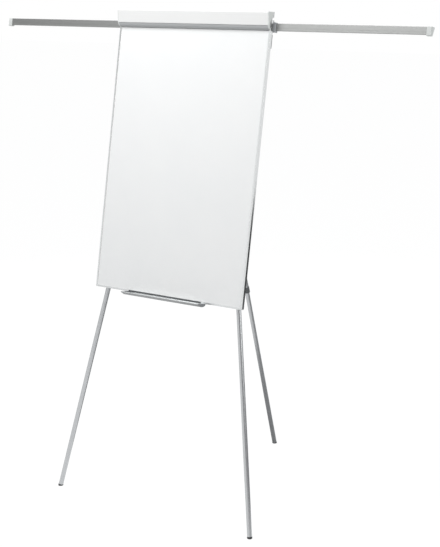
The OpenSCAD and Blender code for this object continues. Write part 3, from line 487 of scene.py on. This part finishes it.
def screws(name, node, out):
    """Pan-head screws with a six-lobed socket where a CAD group has its screws. The head's profile falls
    from a flat top round to its rim, and the socket's radius is 1.2 mm plus 0.3 mm times the cosine of six
    times the angle."""
    head_r = 0.0028
    head_h = 0.0018
    around = 36
    between = 0.004
    own_axes = np.stack([across, np.cross(out, across), out])
    own = vertices(node) @ own_axes.T
    group = apart(own[:, 0], between) * len(own) + apart(own[:, 1], between)
    socket = 0.0012 + 0.0003 * np.cos(6 * np.arange(around) * 2 * np.pi / around)
    rim = head_r * np.outer([0.9, 1, 1, 0.94, 0.8, 0.64], np.ones(around))
    radius = np.vstack([rim, socket, 0.85 * socket])
    height = -head_h * np.array([1, 0.9, 0.45, 0.2, 0.05, 0, 0.01, 0.55])
    points = []
    faces = []
    for number in np.unique(group):
        mine = own[group == number]
        middle = (mine.min(0) + mine.max(0)) / 2
        seat = np.array((middle[0], middle[1], mine[:, 2].max())) @ own_axes
        ring, quads = turned(radius, height, seat, out, around)
        faces += [[corner + sum(map(len, points)) for corner in quad] for quad in quads]
        points.append(ring.reshape(-1, 3))
    make(name, (np.concatenate(points), faces), zinc, "board", node)


screws("rail_screw_heads", "clamp_rail_screws", up)

# The clamp springs: two torsion springs of hard steel wire on the hinge rod. One leg stands on the rail's
# shelf, the coil winds round the rod, and the other leg presses up under the clamp bar behind the hinge.
hinge = np.array(joint["clamp_flip"]["pos_m"])
wire_r = 0.0006
coil_r = 0.0032
coil_turns = 5
coil_pitch = 0.0018
turn_steps = 32
leg_steps = 8
wire_sides = 12
for name, side in sides.items():
    own = (vertices("clamp_springs") - hinge) @ np.stack([across, back, up], 1)
    own = own[own[:, 0] * side > 0]
    first_x = own[:, 0].min() + wire_r
    theta = np.linspace(0, 2 * np.pi * coil_turns, turn_steps * coil_turns + 1)
    foot = np.linspace(own[:, 2].min() + wire_r, 0, leg_steps)[:-1]
    tip = np.linspace(0, own[:, 2].max(), leg_steps)[1:]
    bend = np.r_[0 * foot, theta, 0 * tip + theta[-1]]
    lift = np.r_[foot, 0 * theta, tip]
    run = np.stack([np.cos(bend), np.sin(bend)], 1) * coil_r
    line = np.stack([first_x + coil_pitch * bend / (2 * np.pi), run[:, 0], run[:, 1] + lift], 1)
    ahead = np.gradient(line, axis=0)
    ahead /= np.linalg.norm(ahead, axis=1, keepdims=True)
    out = np.stack([0 * bend, np.cos(bend), np.sin(bend)], 1)
    beside = np.cross(ahead, out)
    above = np.cross(ahead, beside)
    spin = np.arange(wire_sides)[:, None] * 2 * np.pi / wire_sides
    tube = line[:, None] + wire_r * (np.cos(spin) * beside[:, None] + np.sin(spin) * above[:, None])
    rows = len(line)
    faces = skin(rows, wire_sides) + lids(rows, wire_sides)
    shape = hinge + tube @ np.stack([across, back, up]), faces
    spring = make("closing_spring_" + name, shape, zinc, None, "clamp_springs")
    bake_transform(spring)

# The pad pegs: moulded pins with a round flange and a domed tip. Each is one piece with a slider that
# runs in the slot of the rail, so that it can be set to the holes of a pad.
flange_r = 0.0045
flange_t = 0.002
peg_r = 0.003
peg_len = 0.0075
peg_dome = 0.001
fillet_r = 0.0004
fillet_h = 0.0006
slot_wall = 0.0023
neck = 0.0019
slider_round = 0.0003
slider_ease = (0.0004, 0.0004)
peg_sides = 40
dark_moulding = moulded("charcoal_nylon_moulding", "#56585a", "#636567")
slot_front = span("clamp_rail")[0][1]
slot_back = slot_front + slot_wall
dome = np.linspace(0, np.pi / 2, 7)[:-1]
flange = flange_r - np.array([0.0003, 0, 0, 0.0005])
radius = np.r_[flange, peg_r + fillet_r, peg_r, peg_r, peg_r + peg_dome * (np.cos(dome) - 1)]
for name in sides:
    node = "pad_peg_" + name
    low, high = span(node)
    middle = (low + high) / 2
    reach = slot_front - low[1]
    start = reach - peg_len - flange_t
    base = edge + across * middle[0] + back * slot_front + up * middle[2]
    rim = start + np.array([0, 0.0003, 0.0013, flange_t])
    shank = np.array([start + flange_t, start + flange_t + fillet_h, reach - 1.2 * peg_dome])
    height = np.r_[rim, shank, reach + peg_dome * (np.sin(dome) - 1)]
    shape = turned(radius, height, base, -back, peg_sides)
    make(node + "_pin", shape, dark_moulding, "peg_" + name, node)
    tee = [
        (slot_front - start, middle[2] - neck),
        (slot_back, middle[2] - neck),
        (slot_back, low[2]),
        (high[1], low[2]),
        (high[1], high[2]),
        (slot_back, high[2]),
        (slot_back, middle[2] + neck),
        (slot_front - start, middle[2] + neck),
    ]
    shape = drawn(rounded(tee, slider_round, 3), (back, up, across), low[0], high[0], slider_ease)
    make(node + "_slider", shape, dark_moulding, "peg_" + name, node)

# The clamp bar: a white extrusion of wedge section that flips up on the hinge rod to take a pad. Its top
# falls to the front, its front leans back to the foot, and a flange at the foot carries the jaw.
bar_low, bar_high = span("clamp_bar")
bar_wall = 0.002
bar_lean = 0.009
bar_foot = 0.010
bar_slope = np.tan(np.radians(6))
rear_edge_up = 0.0036
brow_up = 0.011
rail_gap = 0.002


def folded(path, thick):
    """The corners of a sheet bent along a path: the path, then the same path moved by the thickness to its
    left on the mitres of its bends, back to the start."""
    path = np.asarray(path, float)
    run = np.diff(path, axis=0)
    run /= np.linalg.norm(run, axis=1, keepdims=True)
    left = np.stack([-run[:, 1], run[:, 0]], 1)
    mitre = np.vstack([left[:1], left]) + np.vstack([left, left[-1:]])
    moved = path + mitre * (2 * thick / (mitre**2).sum(1, keepdims=True))
    return np.vstack([path, moved[::-1]])


# White vinyl: a smooth rigid extrusion with a soft gloss and faint lines 3 mm wide along its length
vinyl, tree, place = finish_of("white_extruded_vinyl")
lined = add(
    tree,
    "Mapping",
    {"Vector": place, "Rotation": aimed(across), "Scale": (0.003, 0.003, 0.5)},
    vector_type="TEXTURE",
)
lines = add(tree, "TexNoise", {"Vector": lined.outputs[0], "Scale": 1.0, "Detail": 3.0})
tone = add(tree, "Mix", {0: lines.outputs[0], 6: linear("#e9e9e8"), 7: linear("#eeeeed")}, data_type="RGBA")
gloss = add(tree, "MapRange", {0: lines.outputs[0], 1: 0.3, 2: 0.7, 3: 0.3, 4: 0.4})
bump = add(tree, "Bump", {"Height": lines.outputs[0], "Strength": 0.1, "Distance": 0.0002})
surface(
    tree,
    {"Base Color": tone.outputs[2], "Roughness": gloss.outputs[0], "IOR": 1.54, "Normal": bump.outputs[0]},
)
hinge_v = (hinge - edge) @ up
bar_lip = slot_front - rail_gap
bar_front = bar_lip - bar_foot
brow = (bar_front - bar_lean, hinge_v + brow_up)
bar_path = [
    (bar_high[1], hinge_v + rear_edge_up),
    (bar_high[1], brow[1] + (bar_high[1] - brow[0]) * bar_slope),
    brow,
    (bar_front, bar_low[2]),
    (bar_lip, bar_low[2]),
]
bends = np.array([0.6, 3, 4, 2.5, 0.6, 0.6, 0.5, 2, 1, 0.6]) / 1000
shape = drawn(rounded(folded(bar_path, bar_wall), bends, 12), (back, up, across), bar_low[0], bar_high[0])
make("clamp_bar_extrusion", shape, vinyl, "clamp", "clamp_bar")

# The clamp jaw: a grey anodised strip bent to slope from the bar's foot in to the board. It moves with the
# bar, and its upturned edge presses a ribbed rubber grip strip on the pad.
jaw_low, jaw_high = span("clamp_jaw")
jaw_wall = 0.0016
set_back = 0.0015
face_in = 0.004
face_down = 0.009
turned_up = 0.005
jaw_front = bar_front + set_back
jaw_path = [
    (bar_lip, jaw_high[2]),
    (jaw_front, jaw_high[2]),
    (jaw_front + face_in, jaw_high[2] - face_down),
    (jaw_high[1], jaw_low[2]),
    (jaw_high[1], jaw_low[2] + turned_up),
]
bends = np.array([0.3, 2, 2.6, 0.5, 0.3, 0.3, 0.5, 1, 0.4, 0.3]) / 1000
shape = drawn(rounded(folded(jaw_path, jaw_wall), bends, 8), (back, up, across), jaw_low[0], jaw_high[0])
make("clamp_jaw_strip", shape, grey_anodised, "clamp", "clamp_jaw")


def rubber(name, dark, light):
    """Matt rubber: dusty specks 1.5 mm wide mix two tones over a fine uneven skin."""
    material, tree, place = finish_of(name)
    dust = add(tree, "TexNoise", {"Vector": place, "Scale": 650.0, "Detail": 4.0})
    tone = add(tree, "Mix", {0: dust.outputs[0], 6: linear(dark), 7: linear(light)}, data_type="RGBA")
    bump = add(tree, "Bump", {"Height": dust.outputs[0], "Strength": 0.3, "Distance": 0.0003})
    surface(
        tree,
        {"Base Color": tone.outputs[2], "Roughness": 0.82, "IOR": 1.52, "Normal": bump.outputs[0]},
    )
    return material


black_rubber = rubber("black_epdm_rubber", "#37383a", "#4a4b4c")
# Five ribs a millimetre apart stand on the strip's face as a cosine wave, and its other sides are flat
ribs = 5
rib_h = 0.0004
grip_ease = (0.00005, 0.00005)
grip_low, grip_high = span("clamp_grip_strip")
rise = np.linspace(0, 1, 8 * ribs + 1)
wave = grip_high[1] - rib_h * (0.5 + 0.5 * np.cos(2 * np.pi * ribs * rise))
face = np.stack([wave, grip_low[2] + rise * (grip_high[2] - grip_low[2])], 1)
strip = np.vstack([[(grip_low[1], grip_low[2])], face, [(grip_low[1], grip_high[2])]])
shape = drawn(strip, (back, up, across), grip_low[0], grip_high[0], grip_ease)
make("grip_strip_ribbed", shape, black_rubber, "clamp", "clamp_grip_strip")


def eased(name, node, width, finish, body):
    """A CAD piece with eased edges: its triangles are welded, faces within 0.4 degrees of each other are
    joined into flats, and each edge over 35 degrees gets a round of the width."""
    weld = 2e-6
    work = bmesh.new()
    work.from_mesh(frame["nodes"][node].data)
    bmesh.ops.remove_doubles(work, verts=work.verts, dist=weld)
    bmesh.ops.dissolve_limit(work, angle_limit=np.radians(0.4), verts=work.verts, edges=work.edges)
    work.verts.index_update()
    points = [tuple(corner.co) for corner in work.verts]
    faces = [[corner.index for corner in flat.verts] for flat in work.faces]
    work.free()
    piece = make(name, (points, faces), finish, body, node)
    round_off = piece.modifiers.new("eased", "BEVEL")
    round_off.width = width
    round_off.segments = 2
    round_off.limit_method = "ANGLE"
    round_off.angle_limit = np.radians(35)
    piece.modifiers.move(1, 0)


# The clamp's end caps: pale moulded plates with the outline of bar and jaw, scooped out below the hinge to
# clear the rail. They close the bar's ends and ride on the hinge rod, whose ends show in them.
end_round = 0.0005
for name in sides:
    eased("clamp_cap_" + name, "clamp_end_" + name, end_round, pale_moulding, "clamp")

# The arm rail: an extrusion with two channels behind the top of the board, one for each display arm,
# held to the side channels by screws through its lower flange.
satin_arm = drawn_aluminium("satin_anodised_arm", "#949594", "#9e9f9e", across, 0.45, 0.8)
dress(satin_arm, "arm_rail")
screws("arm_rail_screw_heads", "arm_rail_screws", back)

# The bushes: grey moulded ends of the arm rail. Each has a flange that fills the rail's end and a sleeve
# round the arm, which slides through its window with a little play.
bush_play = 0.0003
bush_in = 0.005
tongue_h = 0.0014
tongue_round = 0.0003
sleeve_walls = np.array((0.0016, 0.003))
mouth = span("frame_right")[1][0]
grey_moulding = moulded("grey_abs_moulding", "#bcbec0", "#c7c9cb")


def pierced(low, high, hole, near, far):
    """An oblong block along x with a window through it: the outer outline draws in by the soft edge at both
    ends, and the last row of the grid joins its first through the window."""
    soft = 0.0006
    block_round = 0.0015
    window_round = 0.0008
    along = np.array([near, near + soft, far - soft, far, far, near])
    shell = [rounded(box_outline(low + gap, high - gap), block_round, 6) for gap in (soft, 0, 0, soft)]
    rings = np.stack(shell + [rounded(hole, window_round, 6)] * 2)
    points = edge + rings @ np.stack([back, up]) + along[:, None, None] * across
    return points, skin(len(rings), rings.shape[1], True)


for name, side in sides.items():
    node = "arm_bush_" + name
    low, high = span(node)
    arm_low, arm_high = span("arm_" + name)
    window = arm_low[1:] - bush_play, arm_high[1:] + bush_play
    hole = box_outline(*window)
    reach = high[0] if side > 0 else -low[0]
    root = low[0] if side > 0 else -high[0]
    parts = {
        "flange": (low[1:], high[1:], mouth - bush_in, mouth),
        "sleeve": (window[0] - sleeve_walls, window[1] + sleeve_walls, mouth, reach),
    }
    for part, (block_low, block_high, near, far) in parts.items():
        ends = (near, far) if side > 0 else (-far, -near)
        shape = pierced(block_low, block_high, hole, *ends)
        make("arm_bush_" + part + "_" + name, shape, grey_moulding, "board", node)
    levels = {"upper": window[1][1], "lower": window[0][1] - tongue_h}
    for level, foot in levels.items():
        tongue = box_outline((arm_low[1], foot), (arm_high[1], foot + tongue_h))
        ends = (root, mouth - bush_in) if side > 0 else (bush_in - mouth, -root)
        shape = drawn(rounded(tongue, tongue_round, 3), (back, up, across), *ends)
        label = "arm_bush_tongue_" + level + "_" + name
        make(label, shape, grey_moulding, "board", node)

# The display arms: flat rectangular aluminium tubes with a line along each face, for holding up finished
# sheets. Each slides out of its channel on a nylon glide and ends in a pale moulded cap.
groove_d = 0.0006
groove_w = 0.002
groove_up = 0.008
cap_foot = 0.015
cap_ease = (0.0008, 0.0008)
cap_bends = np.array([3, 3, 1.5, 3]) / 1000
cap_moulding = moulded("light_grey_abs_moulding", "#cfd2d0", "#d8dad8")
for name, side in sides.items():
    low, high = span("arm_" + name)
    foot = low[2] + groove_up - groove_w / 2
    top = low[2] + groove_up + groove_w / 2
    section = [
        (low[1], low[2]),
        (high[1], low[2]),
        (high[1], foot),
        (high[1] - groove_d, foot),
        (high[1] - groove_d, top),
        (high[1], top),
        (high[1], high[2]),
        (low[1], high[2]),
        (low[1], top),
        (low[1] + groove_d, top),
        (low[1] + groove_d, foot),
        (low[1], foot),
    ]
    bends = np.array([0.8, 0.8, 0.25, 0.2, 0.2, 0.25, 0.8, 0.8, 0.25, 0.2, 0.2, 0.25]) / 1000
    shape = drawn(rounded(section, bends, 5), (back, up, across), low[0], high[0])
    make("display_arm_" + name, shape, satin_arm, "arm_" + name, "arm_" + name)
    dress(dark_moulding, "arm_glide_" + name)
    cap_low, cap_high = span("arm_cap_" + name)
    tube_end = high[0] if side > 0 else low[0]
    section = [
        (cap_low[1], cap_low[2]),
        (cap_low[1] + cap_foot, cap_low[2]),
        (cap_high[1], cap_high[2]),
        (cap_low[1], cap_high[2]),
    ]
    near, far = (tube_end, cap_high[0]) if side > 0 else (cap_low[0], tube_end)
    shape = drawn(rounded(section, cap_bends, 8), (back, up, across), near, far, cap_ease)
    make("arm_cap_moulding_" + name, shape, cap_moulding, "arm_" + name, "arm_cap_" + name)

# The hub: a steel plate across the back of the board that carries the three legs, with a die-cast clevis
# and pin for the rear leg and two headed bolts for the front legs. Plate and hooks are powder coated.


def powder_coat(name, dark, light):
    """Baked powder: an even grey with a pebbled skin of 1.5 mm waves, half gloss."""
    material, tree, place = finish_of(name)
    drift = add(tree, "TexNoise", {"Vector": place, "Scale": 14.0, "Detail": 2.0})
    tone = add(tree, "Mix", {0: drift.outputs[0], 6: linear(dark), 7: linear(light)}, data_type="RGBA")
    pebble = add(tree, "TexNoise", {"Vector": place, "Scale": 650.0, "Detail": 1.0})
    gloss = add(tree, "MapRange", {0: pebble.outputs[0], 1: 0.3, 2: 0.7, 3: 0.36, 4: 0.5})
    bump = add(tree, "Bump", {"Height": pebble.outputs[0], "Strength": 0.2, "Distance": 0.0003})
    surface(
        tree,
        {
            "Base Color": tone.outputs[2],
            "Roughness": gloss.outputs[0],
            "IOR": 1.5,
            "Normal": bump.outputs[0],
        },
    )
    return material


grey_powder = powder_coat("grey_powder_coat", "#85888a", "#909395")
plate_edge = 0.0004
cast_edge = 0.0007
eased("hub_plate_coated", "hub_plate", plate_edge, grey_powder, "board")

# Die-cast alloy: a dull bright metal with the shallow pits of its mould, 1 mm across
cast, tree, place = finish_of("die_cast_alloy")
pits = add(tree, "TexNoise", {"Vector": place, "Scale": 1000.0, "Detail": 3.0})
tone = add(tree, "Mix", {0: pits.outputs[0], 6: linear("#8f9294"), 7: linear("#a4a7a9")}, data_type="RGBA")
dull = add(tree, "MapRange", {0: pits.outputs[0], 1: 0.3, 2: 0.7, 3: 0.42, 4: 0.56})
bump = add(tree, "Bump", {"Height": pits.outputs[0], "Strength": 0.3, "Distance": 0.0002})
surface(
    tree,
    {
        "Base Color": tone.outputs[2],
        "Metallic": 1.0,
        "Roughness": dull.outputs[0],
        "Normal": bump.outputs[0],
    },
)
eased("rear_clevis_casting", "rear_clevis", cast_edge, cast, "board")
dress(zinc, "front_pivot_bolts", "rear_hinge_pin")
screws("hub_screw_heads", "hub_screws", back)

# The legs: telescopic steel tubes in silver lacquer. A moulded knuckle tops each upper tube, and a slit
# nylon ring, squeezed by the twist collar, grips the lower tube, which has a nylon plug to guide it.
lacquer, tree, place = finish_of("silver_lacquered_tube")
# Metal flake, 0.05 mm in the paint and drawn at 1.5 mm, and slow drifts of tone 80 mm long
flake = add(tree, "TexVoronoi", {"Vector": place, "Scale": 650.0})
drift = add(tree, "TexNoise", {"Vector": place, "Scale": 12.0, "Detail": 2.0})
mixed = add(tree, "Math", {0: flake.outputs[0], 1: drift.outputs[0]}, operation="MULTIPLY")
tone = add(tree, "Mix", {0: mixed.outputs[0], 6: linear("#bec0c2"), 7: linear("#d3d5d6")}, data_type="RGBA")
gloss = add(tree, "MapRange", {0: flake.outputs[0], 1: 0.0, 2: 0.8, 3: 0.29, 4: 0.33})
surface(
    tree,
    {"Base Color": tone.outputs[2], "Metallic": 0.85, "Roughness": gloss.outputs[0], "Coat Weight": 0.2},
)
nylon = moulded("natural_nylon", "#d6d5cd", "#e3e2db", 0.42)
legs = ("left", "right", "rear")
for name in legs:
    dress(lacquer, "upper_tube_" + name, "lower_tube_" + name)
    dress(dark_moulding, "knuckle_" + name)
    dress(nylon, "grip_ring_" + name, "glide_plug_" + name)

# The lock collars: dark moulded sleeves with sixteen grip flutes between two plain rims. A quarter turn
# squeezes the ring inside on to the lower tube.
collar_r = 0.0125
upper_bore = 0.0111
lower_bore = 0.0098
bore_step = 0.0236
rim_h = 0.0049
flutes = 16
flute_d = 0.0006
flute_sink = 0.0001
around = 192
# A flute is a squared cosine round the collar, and it runs out over a sixth of its length at both rims
flute = (0.5 + 0.5 * np.cos(flutes * np.arange(around) * 2 * np.pi / around)) ** 2
rise = np.linspace(0, 1, 17)
depth = flute_d * np.clip(6 * np.minimum(rise, 1 - rise), 0, 1)
gripped = collar_r - flute_sink - depth[:, None] * flute
upper_rim = collar_r - np.array([0.0009, 0.0003, 0, 0, 0.0004])
lower_rim = collar_r - np.array([0.0004, 0, 0, 0.0004, 0.0012])
plain = np.ones(around)
radius = np.vstack(
    [
        np.outer(np.r_[upper_bore, upper_rim], plain),
        gripped,
        np.outer(np.r_[lower_rim, lower_bore, lower_bore, upper_bore], plain),
    ]
)
leg_pivot = {name: np.array(joint["leg_swing_" + name]["pos_m"]) for name in sides}
leg_pivot["rear"] = np.array(joint["leg_fold_rear"]["pos_m"])
for name in legs:
    axis = np.array(joint["collar_twist_" + name]["axis"])
    along = (vertices("lock_collar_" + name) - leg_pivot[name]) @ axis
    top = along.min()
    foot = along.max()
    upper_at = top + np.array([0, 0, 0.0003, 0.0009, 0.0042, 0.0045])
    grip_at = top + rim_h + rise * (foot - top - 2 * rim_h)
    lower_at = foot - np.array([0.0045, 0.0042, 0.0012, 0.0004, 0, 0])
    height = np.r_[upper_at, grip_at, lower_at, top + bore_step, top + bore_step]
    shape = turned(radius, height, leg_pivot[name], axis, around, True)
    node = "lock_collar_" + name
    make("twist_collar_" + name, shape, dark_moulding, "collar_" + name, node)

# The feet: black rubber tips pushed into the lower tubes, with a groove round them and a soft edge. Each
# sole is cut level with the floor, though the leg comes down at a slant.
tip_share = np.array([0, 0.04, 0.1, 0.36, 0.42, 0.52, 0.58, 0.72, 0.82, 0.9, 0.96, 1])
tip_r = np.array([9.5, 9.85, 10, 10, 9.6, 9.6, 10, 10, 9.9, 9.6, 9.2, 8.6]) / 1000
around = 64
for name in legs:
    axis = np.array(joint["leg_slide_" + name]["axis"])
    pivot = leg_pivot[name]
    tube_end = ((vertices("lower_tube_" + name) - pivot) @ axis).max()
    side = np.cross(axis, across)
    side /= np.linalg.norm(side)
    other = np.cross(axis, side)
    angle = np.arange(around) * 2 * np.pi / around
    spoke_z = np.cos(angle) * side[2] + np.sin(angle) * other[2]
    # Along each spoke, the height at which the tip meets the floor
    floor_at = -(pivot[2] + tip_r[:, None] * spoke_z) / axis[2]
    height = tube_end + tip_share[:, None] * (floor_at - tube_end)
    shape = turned(tip_r, height, pivot, axis, around)
    make("rubber_foot_" + name, shape, black_rubber, "lower_leg_" + name, "foot_" + name)

# The leg hooks: bent steel clips screwed to the back of the panel, in the same powder coat as the hub.
# Each holds a front leg when it is splayed.
for name in sides:
    eased("leg_hook_coated_" + name, "leg_hook_" + name, plate_edge, grey_powder, "board")
screws("hook_screw_heads", "leg_hook_screws", back)

# The pen tray: an aluminium extrusion with a sloped front and an upright lip, screwed up under the board
# through a flange. Its outside is satin; its trough and lip take a lighter, glossier copy of the finish, a
# painted highlight for the light they catch, and a dark band along the top of its back wall is painted
# shade. Moulded caps close its ends.
tray_low, tray_high = span("pen_tray")
tray_wall = 0.0016
trough = np.array([(-48, 2), (-48, -2), (-27, -11), (-13, -11), (0, -6.6), (0, 6)]) / 1000
bends = np.array([0.7, 2.4, 4, 4, 1, 0.6, 0.6, 1, 2.4, 2.4, 0.8, 0.7]) / 1000
# Where the painted shade band on the back wall ends: its foot, and how far short of the right end it stops
shadow_foot = -0.0005
shadow_short = 0.018
flange_round = 0.0003
satin_tray = drawn_aluminium("satin_anodised_tray", "#9c9e9f", "#a8aaab", across, 0.5, 0.3)
# Painted shade: a dark rubber tone laid along the top of the trough's back wall
trough_shadow_paint = rubber("painted_trough_shadow", "#4a4c4e", "#57595b")
# The profile has seven points for each corner: outside from the lip's top to the back wall's, then inside
# back again. The painted shade band starts on the rounded top of the back wall and ends at a point put in
# for it, and it stops short of the tray's right end.
corner_points = 7
lip_end = corner_points
shadow_start = 6 * corner_points + 4
shadow_end = 7 * corner_points
profile = rounded(folded(trough, tray_wall), bends, corner_points - 1)
profile = np.insert(profile, shadow_end, (profile[shadow_end - 1, 0], shadow_foot), axis=0)
shadow_stop = tray_high[0] - shadow_short
points, faces = drawn(profile, (back, up, across), tray_low[0], tray_high[0], stations=[shadow_stop])
tray = make("pen_tray_extrusion", (points, faces), satin_tray, "board", "pen_tray")
tray.data.materials.append(trough_shadow_paint)
# The tray's third finish: the painted highlight on its lip and trough
tray.data.materials.append(bright_sill_and_tray_highlight)
around = points.shape[1]
column = np.r_[np.arange(len(faces) - 2) % around, -1, -1]
left_of_stop = np.arange(len(faces)) < len(points) // 2 * around
shadow_columns = (column >= shadow_start) & (column < shadow_end)
# Painted shade: the faces at the top of the back wall, left of the stop, take the dark shade material
lined = shadow_columns & left_of_stop
# Painted highlight: the lip's top and the trough, but not the shaded band, take the lighter, glossier
# finish
painted_highlight = (column >= 0) & (column < lip_end) | (column >= shadow_start) & ~lined
tray.data.polygons.foreach_set("material_index", (lined + 2 * painted_highlight).astype(np.int32))
flange = box_outline((-tray_wall / 2, -tray_wall), (tray_high[1], 0.0))
shape = drawn(rounded(flange, flange_round, 3), (back, up, across), tray_low[0], tray_high[0])
make("pen_tray_flange", shape, satin_tray, "board", "pen_tray")
mid_moulding = moulded("mid_grey_abs_moulding", "#858789", "#919395")
cap_low, cap_high = span("tray_end_caps")
cap_bends = np.array([0.8, 2.4, 4, 4, 0.8, 0.8]) / 1000
cap_ease = (0.0003, 0.0003)
outline = rounded([*trough[:-1], (trough[-1, 0], trough[0, 1])], cap_bends, 6)
for name, side in sides.items():
    near, far = (tray_high[0], cap_high[0]) if side > 0 else (cap_low[0], tray_low[0])
    shape = drawn(outline, (back, up, across), near, far, cap_ease)
    make("tray_cap_" + name, shape, mid_moulding, "board", "tray_end_caps")
screws("tray_screw_heads", "tray_screws", -up)
